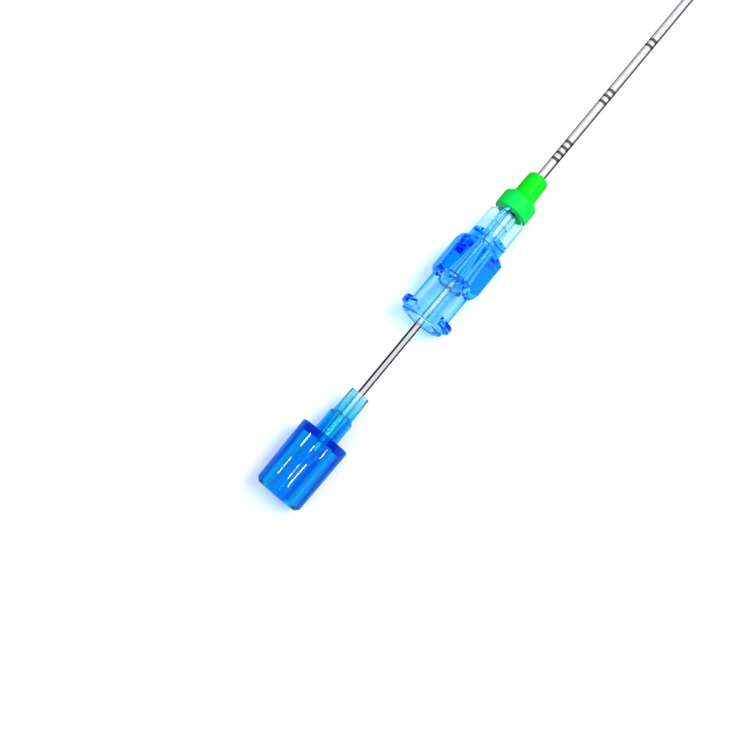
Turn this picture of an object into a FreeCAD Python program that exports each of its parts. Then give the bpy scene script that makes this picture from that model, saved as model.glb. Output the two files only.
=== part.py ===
import FreeCAD, Part
import math
import os

# Brachytherapy needle, lying along X with its tip towards +X and a flat of its grip facing down.
# The origin is on the needle's axis at the cannula hub's rear rim. Sizes are in millimetres, angles in degrees.

# Steel tube and wire, 18 gauge
cannula_diameter = 1.27
cannula_wall = 0.105
stylet_play = 0.03
needle_length = 200.0
bevel_angle = 22.0
wire_end_chamfer = 0.1

# Radial gap left for glue or for a push fit
bond_gap = 0.01

# Roundings smaller than this are made as straight edge breaks
smallest_arc = 0.35

# Luer-lock end of the cannula hub
socket_mouth = 4.3
luer_taper = 0.06
socket_floor_gap = 0.3
rim_diameter = 6.44
rim_round = 0.2
collar_length = 1.75
lug_count = 2
lug_span = 7.8
lug_oval_height = 6.6
lug_half_angle = 40.0
lug_middle = 1.28
lug_root_width = 1.3
lug_crest_width = 0.85
lug_trim = 0.2

# Barrel, grip and ring of the cannula hub
barrel_diameter = 5.88
barrel_length = 4.45
grip_across_flats = 6.68
grip_length = 6.9
grip_rear_slope = 1.05
grip_front_slope = 0.85
grip_front_step = 0.15
ring_diameter = 5.3
ring_length = 1.6
ring_round = 0.15

# Fins and nose of the cannula hub
core_diameter = 2.78
fin_count = 4
fin_diameter = 5.48
fin_thickness = 0.5
fin_length = 4.3
fin_corner = 0.7
spigot_diameter = 2.4
spigot_length = 1.3

# Inside of the cannula hub
funnel_mouth = 2.66
funnel_step = 0.25
cannula_seat_depth = 6.6
glue_well_diameter = 1.7
glue_well_depth = 3.5

# Green nose cap
collar_diameter = 5.0
collar_width = 2.3
shoulder_length = 0.75
shoulder_round = 0.4
nose_diameter = 3.2
nose_draft = 0.08
nose_cap_length = 6.55
nose_round = 0.65
nose_cap_end_gap = 0.05

# Stylet hub
stylet_withdrawal = 19.5
cap_rear_diameter = 6.9
cap_front_diameter = 7.18
cap_length = 9.9
cap_rear_chamfer = 0.5
cap_front_round = 0.25
cap_bore = 4.0
cap_bore_draft = 0.06
cap_bore_round = 0.3
cap_end_wall = 1.0
neck_diameter = 3.6
neck_length = 3.05
neck_chamfer = 0.33
tip_diameter = 3.0
tip_end_diameter = 2.74
plug_length = 7.05
funnel_depth = 5.0
tip_funnel_mouth = 2.4
stylet_glue_depth = 1.4
wire_tail = 1.5

# Places along the needle, worked out from the sizes
barrel_end = collar_length + barrel_length
grip_end = barrel_end + grip_length
ring_end = grip_end + ring_length
fin_end = ring_end + fin_length
hub_end = fin_end + spigot_length
cannula_start = hub_end - cannula_seat_depth
cannula_tip = hub_end + needle_length
socket_depth = plug_length + socket_floor_gap
glue_well_start = hub_end - glue_well_depth
cap_front = -stylet_withdrawal
cap_rear = cap_front - cap_length
cup_floor = cap_front - cap_end_wall
plug_end = cap_front + plug_length
tip_funnel_start = plug_end - funnel_depth
stylet_tip = cannula_tip - stylet_withdrawal
stylet_start = cup_floor - wire_tail
cannula_bore = cannula_diameter - 2 * cannula_wall
stylet_diameter = cannula_bore - 2 * stylet_play
overcut = 1.0

AXIS_POINT = FreeCAD.Vector(0, 0, 0)
ALONG = FreeCAD.Vector(1, 0, 0)


def rounded_outline(corners):
    """Closed wire in the XZ plane through (x, z, radius) corners.

    Each corner is rounded by its own radius, or gets a straight edge break where the radius is a small one.
    """
    points = [FreeCAD.Vector(x, 0, z) for x, z, radius in corners]
    edges = []
    stops = []
    for index, corner in enumerate(points):
        radius = corners[index][2]
        if radius == 0:
            stops.append((corner, corner))
            continue
        back = (points[index - 1] - corner).normalize()
        ahead = (points[(index + 1) % len(points)] - corner).normalize()
        half_angle = back.getAngle(ahead) / 2
        inward = (back + ahead).normalize()
        setback = radius / math.tan(half_angle)
        start = corner + back * setback
        end = corner + ahead * setback
        middle = corner + inward * (radius / math.sin(half_angle) - radius)
        if radius < smallest_arc:
            edges.append(Part.LineSegment(start, end).toShape())
        else:
            edges.append(Part.Arc(start, middle, end).toShape())
        stops.append((start, end))
    for index, stop in enumerate(stops):
        begin = stop[1]
        finish = stops[(index + 1) % len(stops)][0]
        if begin.distanceToPoint(finish) > 1e-6:
            edges.append(Part.LineSegment(begin, finish).toShape())
    return Part.Wire(Part.__sortEdges__(edges))


def turned(corners):
    """Solid turned about the needle's axis from (x, radius, rounding) corners."""
    return Part.Face(rounded_outline(corners)).revolve(AXIS_POINT, ALONG, 360)


def rod(start, end, diameter):
    """Plain round bar along the axis."""
    return Part.makeCylinder(diameter / 2, end - start, FreeCAD.Vector(start, 0, 0), ALONG)


def bevel_cutter(tip):
    """Block above the slanting plane that leaves a point at the bottom of the tube at x = tip."""
    reach = cannula_diameter
    slope = math.radians(bevel_angle)
    run = 2 * reach / math.tan(slope)
    low = FreeCAD.Vector(tip, -reach, -cannula_diameter / 2)
    outline = [
        low,
        low + FreeCAD.Vector(-run, 0, 2 * reach),
        low + FreeCAD.Vector(overcut, 0, 2 * reach),
        low + FreeCAD.Vector(overcut, 0, 0),
    ]
    face = Part.Face(Part.makePolygon(outline + outline[:1]))
    return face.extrude(FreeCAD.Vector(0, 2 * reach, 0))


def cannula_tube():
    """Steel tube from its seat in the hub to the bevelled tip."""
    tube = rod(cannula_start, cannula_tip, cannula_diameter)
    tube = tube.cut(rod(cannula_start - overcut, cannula_tip + overcut, cannula_bore))
    return tube.cut(bevel_cutter(cannula_tip))


def lug_envelope():
    """Oval bar that the lugs stay within, so that they stand highest at the hub's sides."""
    widest = FreeCAD.Vector(0, lug_span / 2, 0)
    lowest = FreeCAD.Vector(0, 0, lug_oval_height / 2)
    oval = Part.Ellipse(widest, lowest, AXIS_POINT)
    return Part.Face(Part.Wire([oval.toShape()])).extrude(FreeCAD.Vector(barrel_end, 0, 0))


def lugs():
    """Lugs of the luer lock, the first at the hub's side, in a plane at right angles to the axis.

    Each is part of a ring of trapezoid section, turned a little too high, and the oval envelope trims its crest.
    """
    root = barrel_diameter / 2 - bond_gap
    crest = lug_span / 2
    flank_slope = (lug_root_width - lug_crest_width) / 2 / (crest - root)
    top = crest + lug_trim
    top_width = lug_crest_width - 2 * flank_slope * lug_trim
    section = rounded_outline([
        (lug_middle - lug_root_width / 2, root, 0),
        (lug_middle - top_width / 2, top, 0),
        (lug_middle + top_width / 2, top, 0),
        (lug_middle + lug_root_width / 2, root, 0),
    ])
    first_start = 90 - lug_half_angle
    copies = []
    for index in range(lug_count):
        lug = Part.Face(section).revolve(AXIS_POINT, ALONG, 2 * lug_half_angle)
        lug.rotate(AXIS_POINT, ALONG, first_start + 360 * index / lug_count)
        copies.append(lug.common(lug_envelope()))
    return copies


def grip():
    """Six-sided grip with turned slopes at both ends, one flat facing up and one down."""
    corner_radius = grip_across_flats / math.sqrt(3)
    corners = []
    for side in range(6):
        angle = math.radians(60 * side)
        y = corner_radius * math.cos(angle)
        z = corner_radius * math.sin(angle)
        corners.append(FreeCAD.Vector(barrel_end, y, z))
    hexagon = Part.Face(Part.makePolygon(corners + corners[:1]))
    prism = hexagon.extrude(FreeCAD.Vector(grip_length, 0, 0))
    envelope = turned([
        (barrel_end, 0, 0),
        (barrel_end, barrel_diameter / 2, 0),
        (barrel_end + grip_rear_slope, corner_radius, 0),
        (grip_end - grip_front_slope, corner_radius, 0),
        (grip_end, ring_diameter / 2 + grip_front_step, 0),
        (grip_end, 0, 0),
    ])
    return prism.common(envelope)


def fins():
    """Thin fins round the core, each with its front corner cut off."""
    outer = fin_diameter / 2
    outline = [
        FreeCAD.Vector(ring_end - ring_round, -fin_thickness / 2, 0),
        FreeCAD.Vector(ring_end - ring_round, -fin_thickness / 2, outer),
        FreeCAD.Vector(fin_end - fin_corner, -fin_thickness / 2, outer),
        FreeCAD.Vector(fin_end, -fin_thickness / 2, outer - fin_corner),
        FreeCAD.Vector(fin_end, -fin_thickness / 2, 0),
    ]
    blade = Part.Face(Part.makePolygon(outline + outline[:1])).extrude(FreeCAD.Vector(0, fin_thickness, 0))
    blades = []
    for index in range(fin_count):
        copy = blade.copy()
        copy.rotate(AXIS_POINT, ALONG, 360 * index / fin_count)
        blades.append(copy)
    return blades


def hub_passage():
    """Space inside the cannula hub: luer socket, guide funnel, seat of the tube and glue well."""
    socket_floor = (socket_mouth - luer_taper * socket_depth) / 2
    mouth_rise = luer_taper * overcut / 2
    seat = cannula_diameter / 2 + bond_gap
    return turned([
        (-overcut, 0, 0),
        (-overcut, socket_mouth / 2 + mouth_rise, 0),
        (socket_depth, socket_floor, 0),
        (socket_depth + funnel_step, funnel_mouth / 2, 0),
        (cannula_start, cannula_bore / 2, 0),
        (cannula_start, seat, 0),
        (glue_well_start, seat, 0),
        (glue_well_start, glue_well_diameter / 2, 0),
        (hub_end + overcut, glue_well_diameter / 2, 0),
        (hub_end + overcut, 0, 0),
    ])


def cannula_hub():
    """Clear moulded hub: rim and lugs, barrel, grip, ring, fins and nose spigot."""
    body = turned([
        (0, 0, 0),
        (0, rim_diameter / 2, rim_round),
        (collar_length, rim_diameter / 2, 0),
        (collar_length, barrel_diameter / 2, 0),
        (barrel_end, barrel_diameter / 2, 0),
        (grip_end, barrel_diameter / 2, 0),
        (grip_end, ring_diameter / 2, 0),
        (ring_end, ring_diameter / 2, ring_round),
        (ring_end, core_diameter / 2, 0),
        (fin_end, core_diameter / 2, 0),
        (fin_end, spigot_diameter / 2, 0),
        (hub_end, spigot_diameter / 2, 0),
        (hub_end, 0, 0),
    ])
    added = [grip()] + lugs() + fins()
    return body.fuse(added).removeSplitter().cut(hub_passage())


def hub_adhesive():
    """Cured glue that fills the well round the tube in the hub's nose."""
    outer = rod(glue_well_start, hub_end, glue_well_diameter - 2 * bond_gap)
    return outer.cut(rod(glue_well_start, hub_end, cannula_diameter + 2 * bond_gap))


def nose_cap():
    """Green cap pushed over the hub's nose spigot, with a collar, a sloping shoulder and a rounded nose."""
    end = fin_end + nose_cap_length
    shoulder_start = fin_end + collar_width
    shoulder_end = shoulder_start + shoulder_length
    spigot_hole = spigot_diameter + 2 * bond_gap
    cap = turned([
        (fin_end, 0, 0),
        (fin_end, collar_diameter / 2, rim_round),
        (shoulder_start, collar_diameter / 2, shoulder_round),
        (shoulder_end, nose_diameter / 2, shoulder_round),
        (end, nose_diameter / 2 - nose_draft, nose_round),
        (end, 0, 0),
    ])
    cap = cap.cut(rod(fin_end - overcut, hub_end + nose_cap_end_gap, spigot_hole))
    return cap.cut(rod(fin_end, end + overcut, cannula_diameter + 2 * bond_gap))


def stylet_rod():
    """Steel wire from the stylet hub's cup to its own bevelled tip inside the tube."""
    radius = stylet_diameter / 2
    wire = turned([
        (stylet_start, 0, 0),
        (stylet_start, radius - wire_end_chamfer, 0),
        (stylet_start + wire_end_chamfer, radius, 0),
        (stylet_tip, radius, 0),
        (stylet_tip, 0, 0),
    ])
    return wire.cut(bevel_cutter(stylet_tip))


def stylet_funnel(depth, inset):
    """Turned form of the funnel in the stylet hub's tip, from its narrow end outwards, made smaller by inset."""
    narrow = stylet_diameter / 2 + 2 * bond_gap
    growth = (tip_funnel_mouth / 2 - narrow) / funnel_depth
    return turned([
        (tip_funnel_start, 0, 0),
        (tip_funnel_start, narrow - inset, 0),
        (tip_funnel_start + depth, narrow + growth * depth - inset, 0),
        (tip_funnel_start + depth, 0, 0),
    ])


def stylet_hub():
    """Clear moulded stylet hub: hollow cap with a closed front wall, neck and tapered tip."""
    body = turned([
        (cap_rear, 0, 0),
        (cap_rear, cap_rear_diameter / 2 - cap_rear_chamfer, 0),
        (cap_rear + cap_rear_chamfer, cap_rear_diameter / 2, 0),
        (cap_front, cap_front_diameter / 2, cap_front_round),
        (cap_front, neck_diameter / 2, 0),
        (cap_front + neck_length, neck_diameter / 2, 0),
        (cap_front + neck_length + neck_chamfer, tip_diameter / 2, 0),
        (plug_end, tip_end_diameter / 2, 0),
        (plug_end, 0, 0),
    ])
    cup = turned([
        (cap_rear - overcut, 0, 0),
        (cap_rear - overcut, cap_bore / 2, 0),
        (cap_rear, cap_bore / 2, 0),
        (cup_floor, cap_bore / 2 - cap_bore_draft, cap_bore_round),
        (cup_floor, 0, 0),
    ])
    wire_hole = rod(cup_floor - overcut, plug_end, stylet_diameter + 2 * bond_gap)
    return body.cut(cup).cut(wire_hole).cut(stylet_funnel(funnel_depth + overcut, 0))


def stylet_adhesive():
    """Cured glue at the bottom of the funnel round the wire."""
    plug = stylet_funnel(stylet_glue_depth, bond_gap)
    return plug.cut(rod(tip_funnel_start - overcut, plug_end, stylet_diameter + 2 * bond_gap))


def main():
    os.makedirs("parts", exist_ok=True)
    for make in (cannula_tube, cannula_hub, hub_adhesive, nose_cap, stylet_rod, stylet_hub, stylet_adhesive):
        shape = make()
        name = make.__name__
        shape.exportStep(os.path.join("parts", name + ".step"))
        box = shape.BoundBox
        print(name, shape.isValid(), len(shape.Solids), round(shape.Volume, 3), box)


main()
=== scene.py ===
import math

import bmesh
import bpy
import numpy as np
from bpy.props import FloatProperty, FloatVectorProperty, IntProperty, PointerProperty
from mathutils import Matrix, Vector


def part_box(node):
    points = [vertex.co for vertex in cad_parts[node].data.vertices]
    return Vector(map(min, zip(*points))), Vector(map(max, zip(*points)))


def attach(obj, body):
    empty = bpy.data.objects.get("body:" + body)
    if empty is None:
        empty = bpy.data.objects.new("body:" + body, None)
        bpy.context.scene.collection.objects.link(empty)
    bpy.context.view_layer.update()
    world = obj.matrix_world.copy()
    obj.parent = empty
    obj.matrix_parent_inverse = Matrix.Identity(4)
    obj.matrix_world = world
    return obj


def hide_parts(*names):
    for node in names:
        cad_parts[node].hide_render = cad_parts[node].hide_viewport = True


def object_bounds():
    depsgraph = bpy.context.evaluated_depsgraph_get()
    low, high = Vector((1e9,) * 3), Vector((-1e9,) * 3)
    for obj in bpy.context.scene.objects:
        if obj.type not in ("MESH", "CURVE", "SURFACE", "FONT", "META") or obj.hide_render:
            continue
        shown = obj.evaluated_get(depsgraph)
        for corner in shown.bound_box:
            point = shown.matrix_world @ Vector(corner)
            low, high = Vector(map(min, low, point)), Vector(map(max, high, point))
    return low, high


bl_info = {
    "name": "Brachytherapy needle",
    "version": (1, 0, 0),
    "blender": (4, 5, 0),
    "location": "3D View > Sidebar > Needle",
    "description": "Dresses a brachytherapy needle: blue hubs, green nose cap, ringed steel tube and studio",
    "category": "Object",
}

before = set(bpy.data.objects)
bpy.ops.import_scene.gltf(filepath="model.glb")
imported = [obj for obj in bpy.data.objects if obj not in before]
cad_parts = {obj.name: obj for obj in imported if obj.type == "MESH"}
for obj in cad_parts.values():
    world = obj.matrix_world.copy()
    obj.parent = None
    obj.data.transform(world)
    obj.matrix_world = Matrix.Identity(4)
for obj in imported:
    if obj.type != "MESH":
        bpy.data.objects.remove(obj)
CAD_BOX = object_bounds()

# Millimetres to Blender's metres
MM = 0.001

# Places along the needle in millimetres, read from the boxes of the parts in model.glb
TUBE_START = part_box("cannula_tube")[0][0] / MM
TUBE_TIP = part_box("cannula_tube")[1][0] / MM
HUB_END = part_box("cannula_hub")[1][0] / MM
GLUE_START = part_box("hub_adhesive")[0][0] / MM
NOSE_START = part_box("nose_cap")[0][0] / MM
NOSE_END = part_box("nose_cap")[1][0] / MM
WIRE_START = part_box("stylet_rod")[0][0] / MM
WIRE_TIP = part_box("stylet_rod")[1][0] / MM
CAP_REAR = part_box("stylet_hub")[0][0] / MM
PLUG_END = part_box("stylet_hub")[1][0] / MM
FUNNEL_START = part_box("stylet_adhesive")[0][0] / MM
STYLET_GLUE_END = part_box("stylet_adhesive")[1][0] / MM

# Steel tube and wire, in millimetres like all sizes down to the studio's
TUBE_RADIUS = 0.635
TUBE_BORE_RADIUS = 0.53
WIRE_RADIUS = 0.5
WIRE_CHAMFER = 0.1
BEVEL_SLOPE = math.tan(math.radians(22))
BOND_GAP = 0.01

# Depth marks of the tube: every fifth group is a broad band, with its width in ring pitches, as the wobble is
GROUPS_TO_A_BAND = 5.0
BAND_WIDTH = 3.0
RING_EDGE_WOBBLE = 0.1

# Cannula hub: rim, lugs and barrel
SOCKET_MOUTH_RADIUS = 2.15
SOCKET_FLOOR_RADIUS = 1.93
SOCKET_DEPTH = 7.35
MOUTH_ROUND = 0.1
RIM_RADIUS = 3.22
RIM_ROUND = 0.2
RIM_END = 1.75
BARREL_RADIUS = 2.94
BARREL_END = 6.2
LUG_SIDE_RADIUS = 3.895
LUG_TOP_RADIUS = 3.3
LUG_HALF_ANGLE = 40.0
LUG_END_SLOPE = 3.0
LUG_MIDDLE = 1.28
LUG_ROOT_WIDTH = 1.3
LUG_CREST_WIDTH = 0.85
LUG_BLEND = 0.1
LUG_RUNOUT = 0.5

# Cannula hub: grip, ring, fins and nose spigot
GRIP_HALF_WIDTH = 3.34
GRIP_CORNER_RADIUS = GRIP_HALF_WIDTH / math.cos(math.radians(30))
GRIP_END = 13.1
GRIP_REAR_SLOPE = 1.05
GRIP_FRONT_SLOPE = 0.85
GRIP_EDGE_SHARPNESS = 110
GRIP_MARGIN = 0.1
GRIP_RUNOUT = 0.3
GRIP_BLEND = 0.06
RING_RADIUS = 2.65
RING_STEP = 0.15
RING_END = 14.7
CORE_RADIUS = 1.39
FIN_RADIUS = 2.74
FIN_THICKNESS = 0.5
FIN_CORNER = 0.7
SPIGOT_RADIUS = 1.2
GUIDE_MOUTH_RADIUS = 1.33
GUIDE_STEP = 0.25
GLUE_RADIUS = 0.84

# Nose cap
COLLAR_RADIUS = 2.5
COLLAR_WIDTH = 2.3
COLLAR_ROUND = 0.2
SHOULDER_LENGTH = 0.75
SHOULDER_ROUND = 0.4
NOSE_REAR_RADIUS = 1.6
NOSE_FRONT_RADIUS = 1.52
NOSE_ROUND = 0.63
SPIGOT_ROOM = 0.05

# Stylet hub
CAP_FRONT = -19.5
CAP_REAR_RADIUS = 3.45
CAP_FRONT_RADIUS = 3.59
CAP_CHAMFER = 0.5
CAP_ROUND = 0.25
CUP_RADIUS = 2.0
CUP_FLOOR_RADIUS = 1.94
CUP_FLOOR = -20.5
CUP_ROUND = 0.3
NECK_RADIUS = 1.8
NECK_LENGTH = 3.05
NECK_CHAMFER = 0.33
TIP_RADIUS = 1.5
TIP_END_RADIUS = 1.37
FUNNEL_MOUTH_RADIUS = 1.2
FUNNEL_THROAT_RADIUS = 0.52
WIRE_HOLE_RADIUS = 0.51

# Corners that a mould or a grinding wheel leaves a little round
FINE_EDGE = 0.05
SOFT_EDGE = 0.1
BROAD_EDGE = 0.2

# Fineness of the turned surfaces, with the two lengths in metres
ROUND_COLUMNS = 160
ROUND_STEPS = 6
MERGE_DISTANCE = 4e-7
SHORTEST_EDGE = 1e-7
SHARP_ANGLE = math.radians(32)
NEARLY_NOUGHT = 1e-6

# Share of a rounding's size that the middle of its arc lies off each side
ROUND_MIDDLE = 0.3

# Share of a clear plastic's density that the colour with the highest loss takes
DENSITY_SHARE = 0.99

# Angles in degrees of the hub's finer columns, from a grip's edge and from a fin's middle
EDGE_COLUMNS = (-3, -1.3, -0.6, 0, 0.6, 1.3, 3)
FIN_SIDE_COLUMNS = (6.3, 7.2, 8.3, 9.4)
FIN_TOP_STEPS = 9
LUG_END_STEPS = 5
COLUMN_GAP = 0.4

# Sockets of a Mix node that mixes colours
MIX_FIRST = 6
MIX_SECOND = 7
MIX_RESULT = 2

# Studio, in metres. A lamp's angle is in degrees, from the camera's side of the needle towards the right
LAMP_CENTRE_X = 0.06
FILL_DISTANCE = 0.6
FILL_ANGLE = -12.0
FILL_WIDTH = 1.5
FILL_LENGTH = 1.5
KEY_DISTANCE = 0.8
KEY_ANGLE = 14.0
KEY_WIDTH = 0.26
KEY_LENGTH = 0.38
KEY_X = 0.24
TENT_DISTANCE = 0.7
TENT_ANGLE = 6.0
TENT_WIDTH = 2.4
TENT_LENGTH = 2.4
CARD_ANGLE = -80.0
CARD_WIDTH = 0.6
SHINE_X = 0.3
SHINE_ANGLE = 14.0
SHINE_LENGTH = 0.1
SHINE_WIDTH = 0.07
STRIP_DISTANCE = 0.48
FLOOR_SIZE = 0.9

# Window strips, each with its angle, its start and end along the needle, and its width
STRIPS = (
    (-57.0, -0.053, -0.016, 0.030),
    (-57.0, 0.008, 0.036, 0.060),
    (-10.0, -0.053, -0.016, 0.026),
    (-10.0, 0.011, 0.026, 0.030),
    (12.0, -0.064, -0.010, 0.045),
    (41.0, 0.012, 0.034, 0.026),
)

# Pieces that some lamps are kept to
STEEL_PIECES = ("steel_tube", "stylet_wire")
CLEAR_PIECES = ("blue_hub", "blue_stylet_hub", "hub_glue", "stylet_glue")

# Camera. The needle runs right and up in the picture by these shares of its length
NEEDLE_RIGHT = 0.6401
NEEDLE_UP = 0.7683
CAMERA_AIM = (-9.12 * MM, 1.98 * MM, 0)
CAMERA_TILT = math.radians(7.27)
CAMERA_ROLL = math.atan2(NEEDLE_RIGHT, NEEDLE_UP)
CLIP_START = 0.005

# Focal length and picture width in pixels, and the sensor's width in millimetres
FOCAL_PIXELS = 1046.2
IMAGE_SIZE = 730
SENSOR_WIDTH = 36.0

# Bounces of light, enough for the clear walls that lie behind one another
LIGHT_BOUNCES = 24


def linear_colour(code):
    """Linear red, green and blue of an sRGB hex colour such as 3fa0ff."""
    channels = [int(code[place:place + 2], 16) / 255 for place in (0, 2, 4)]
    return [c / 12.92 if c <= 0.04045 else ((c + 0.055) / 1.055) ** 2.4 for c in channels]


class NeedleTubeSettings(bpy.types.PropertyGroup):
    """Depth rings and steel of the tube and the wire."""

    ring_width: FloatProperty(
        name="Ring width", description="Width of one depth ring along the tube",
        default=0.46 * MM, unit="LENGTH")
    ring_pitch: FloatProperty(
        name="Ring pitch", description="Distance between the rings of a group",
        default=1.0 * MM, unit="LENGTH")
    group_pitch: FloatProperty(
        name="Group pitch", description="Distance between groups of rings",
        default=10.0 * MM, unit="LENGTH")
    tube_colour: FloatVectorProperty(
        name="Tube", description="Colour of the ground tube",
        default=linear_colour("c4c5c7"), size=3, subtype="COLOR", min=0, max=1)
    wire_colour: FloatVectorProperty(
        name="Wire", description="Colour of the drawn wire",
        default=linear_colour("a9aaad"), size=3, subtype="COLOR", min=0, max=1)
    ring_colour: FloatVectorProperty(
        name="Rings", description="Colour of the dark depth rings",
        default=linear_colour("5a4e49"), size=3, subtype="COLOR", min=0, max=1)
    tube_roughness: FloatProperty(
        name="Tube roughness", description="Roughness of the ground tube",
        default=0.35, min=0, max=1, subtype="FACTOR")
    wire_roughness: FloatProperty(
        name="Wire roughness", description="Roughness of the drawn wire",
        default=0.2, min=0, max=1, subtype="FACTOR")


class NeedleHubSettings(bpy.types.PropertyGroup):
    """Blue and fineness of the cannula hub, and green of its nose cap."""

    losses: FloatVectorProperty(
        name="Losses", description="Red, green and blue light taken up by each millimetre of hub plastic",
        default=(0.55, 0.145, 0.012), size=3, min=0)
    nose_colour: FloatVectorProperty(
        name="Nose cap", description="Colour of the nose cap",
        default=linear_colour("00df1a"), size=3, subtype="COLOR", min=0, max=1)
    # Painted glow: the collar's colour is painted more blue, for the hub's light that shines through it
    collar_glow_colour: FloatVectorProperty(
        name="Nose cap's collar", description="Colour of the nose cap's collar, where blue shines through",
        default=linear_colour("00df54"), size=3, subtype="COLOR", min=0, max=1)
    columns: IntProperty(
        name="Columns", description="Evenly spaced lines round the hub",
        default=180, min=24, max=720)


class NeedleStyletSettings(bpy.types.PropertyGroup):
    """Blue of the stylet hub."""

    losses: FloatVectorProperty(
        name="Losses", description="Red, green and blue light taken up by each millimetre of stylet plastic",
        default=(1.6, 0.33, 0.06), size=3, min=0)


class NeedleStudioSettings(bpy.types.PropertyGroup):
    """Floor, lights and camera."""

    floor_colour: FloatVectorProperty(
        name="Floor", description="Colour of the floor",
        default=linear_colour("f2f2f4"), size=3, subtype="COLOR", min=0, max=1)
    # Painted shade: the floor is painted dim in reflections, which gives the steel its dark edges
    floor_mirrored: FloatProperty(
        name="Floor in reflections", description="Share of the floor's brightness left in reflections",
        default=0.06, min=0, max=1, subtype="FACTOR")
    # Painted glow: the floor in the clear plastics' gloss is painted blue-green, for their glow on it
    floor_glow_in_gloss: FloatVectorProperty(
        name="Floor in gloss",
        description="Colour of the floor in the clear plastics' gloss, tinted by their glow",
        default=linear_colour("65b8bf"), size=3, subtype="COLOR", min=0, max=1)
    room_mirrored: FloatProperty(
        name="Room in reflections", description="Brightness of the room in reflections",
        default=0.05, min=0)
    room_through: FloatProperty(
        name="Room through plastic", description="Brightness of the room through clear plastic",
        default=0.8, min=0)
    fill_radiance: FloatProperty(
        name="Fill", description="Brightness of the broad panel overhead",
        default=1.15, min=0)
    key_radiance: FloatProperty(
        name="Key", description="Brightness of the soft box to the right, which casts the shadow",
        default=18.5, min=0)
    tent_radiance: FloatProperty(
        name="Tent", description="Brightness of the white tent that shows in the steel",
        default=2.0, min=0)
    through_radiance: FloatProperty(
        name="Tent through plastic",
        description="Brightness of the white tent seen through the clear plastics",
        default=1.7, min=0)
    card_radiance: FloatProperty(
        name="Card", description="Brightness of the white card that shows in the tube's far side",
        default=1.0, min=0)
    strip_radiance: FloatProperty(
        name="Strips", description="Brightness of the narrow window strips and of the nose cap's shine",
        default=22.0, min=0)
    side_angle: FloatProperty(
        name="Side angle", description="Lean of the camera and lights from straight up towards the right",
        default=math.radians(20), subtype="ANGLE")
    camera_height: FloatProperty(
        name="Camera height", description="Height of the camera over the needle's axis",
        default=135.3 * MM, unit="LENGTH")


def rounded_outline(corners, closed):
    """Outline through (x, radius, rounding) corners, as two arrays.

    A rounded corner becomes an arc tangent to both its sides. With half the corner's angle a, the arc starts
    at rounding / tan a from the corner, and its centre lies rounding / sin a from it on the line that halves
    the angle.
    """
    points = [np.array(corner[:2], float) for corner in corners]
    outline = []
    for index, corner in enumerate(points):
        rounding = corners[index][2]
        at_end = not closed and index in (0, len(points) - 1)
        if rounding == 0 or at_end:
            outline.append(corner[None, :])
            continue
        back = points[index - 1] - corner
        ahead = points[(index + 1) % len(points)] - corner
        back = back / np.linalg.norm(back)
        ahead = ahead / np.linalg.norm(ahead)
        half_angle = math.acos(float(np.clip(back @ ahead, -1, 1))) / 2
        middle_line = (back + ahead) / np.linalg.norm(back + ahead)
        centre = corner + middle_line * rounding / math.sin(half_angle)
        start = corner + back * rounding / math.tan(half_angle) - centre
        end = corner + ahead * rounding / math.tan(half_angle) - centre
        sweep = math.pi - 2 * half_angle
        share = np.linspace(0, 1, ROUND_STEPS + 1)[:, None]
        arc = (np.sin((1 - share) * sweep) * start + np.sin(share * sweep) * end) / math.sin(sweep)
        outline.append(centre + arc)
    outline = np.concatenate(outline)
    return outline[:, 0], outline[:, 1]


def even_columns(count=ROUND_COLUMNS):
    """Angles in degrees, evenly spaced round the axis."""
    return np.arange(count) * 360 / count


def swept_piece(name, x, radius, angles, closed=True):
    """Piece round the needle's axis from a grid of rows along an outline and columns of angles.

    The point of row u and column v lies at x(u, v), radius(u, v) cos v and radius(u, v) sin v. A closed
    piece joins its last row to its first, as on a tube. An open one ends in poles, where the radius is
    nought.
    """
    turn = np.radians(angles)[None, :]
    rows = len(x)
    columns = len(angles)
    x = np.broadcast_to(np.reshape(x, (rows, -1)), (rows, columns))
    radius = np.broadcast_to(np.reshape(radius, (rows, -1)), (rows, columns))
    points = np.stack([x, radius * np.cos(turn), radius * np.sin(turn)], axis=-1).reshape(-1, 3) * MM
    row = np.arange(rows if closed else rows - 1)[:, None] * columns
    next_row = (row + columns) % (rows * columns)
    column = np.arange(columns)[None, :]
    next_column = (column + 1) % columns
    faces = np.stack([row + column, row + next_column, next_row + next_column, next_row + column], axis=-1)
    mesh = bpy.data.meshes.new(name)
    mesh.from_pydata(points.tolist(), [], faces.reshape(-1, 4).tolist())
    shape = bmesh.new()
    shape.from_mesh(mesh)
    bmesh.ops.remove_doubles(shape, verts=shape.verts, dist=MERGE_DISTANCE)
    bmesh.ops.dissolve_degenerate(shape, edges=shape.edges, dist=SHORTEST_EDGE)
    bmesh.ops.recalc_face_normals(shape, faces=shape.faces)
    shape.to_mesh(mesh)
    shape.free()
    mesh.shade_smooth()
    mesh.set_sharp_from_angle(angle=SHARP_ANGLE)
    piece = bpy.data.objects.new(name, mesh)
    bpy.context.scene.collection.objects.link(piece)
    return piece


def turned_piece(name, corners, closed=True):
    """Piece turned from an outline of (x, radius, rounding) corners, the same at every angle."""
    x, radius = rounded_outline(corners, closed)
    return swept_piece(name, x, radius, even_columns(), closed)


def dress(piece, material, body, node):
    """Give a piece its material and body, and hide the solid that it stands for."""
    piece.data.materials.append(material)
    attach(piece, body)
    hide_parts(node)


def smooth_max(a, b, blend):
    """Larger of two heights, filleted: half of a + b + the root of (a - b) squared + blend squared."""
    return (a + b + np.sqrt((a - b) ** 2 + blend ** 2)) / 2


def smooth_min(a, b, blend):
    """Smaller of two heights, rounded off: half of a + b - the root of (a - b) squared + blend squared."""
    return (a + b - np.sqrt((a - b) ** 2 + blend ** 2)) / 2


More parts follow.
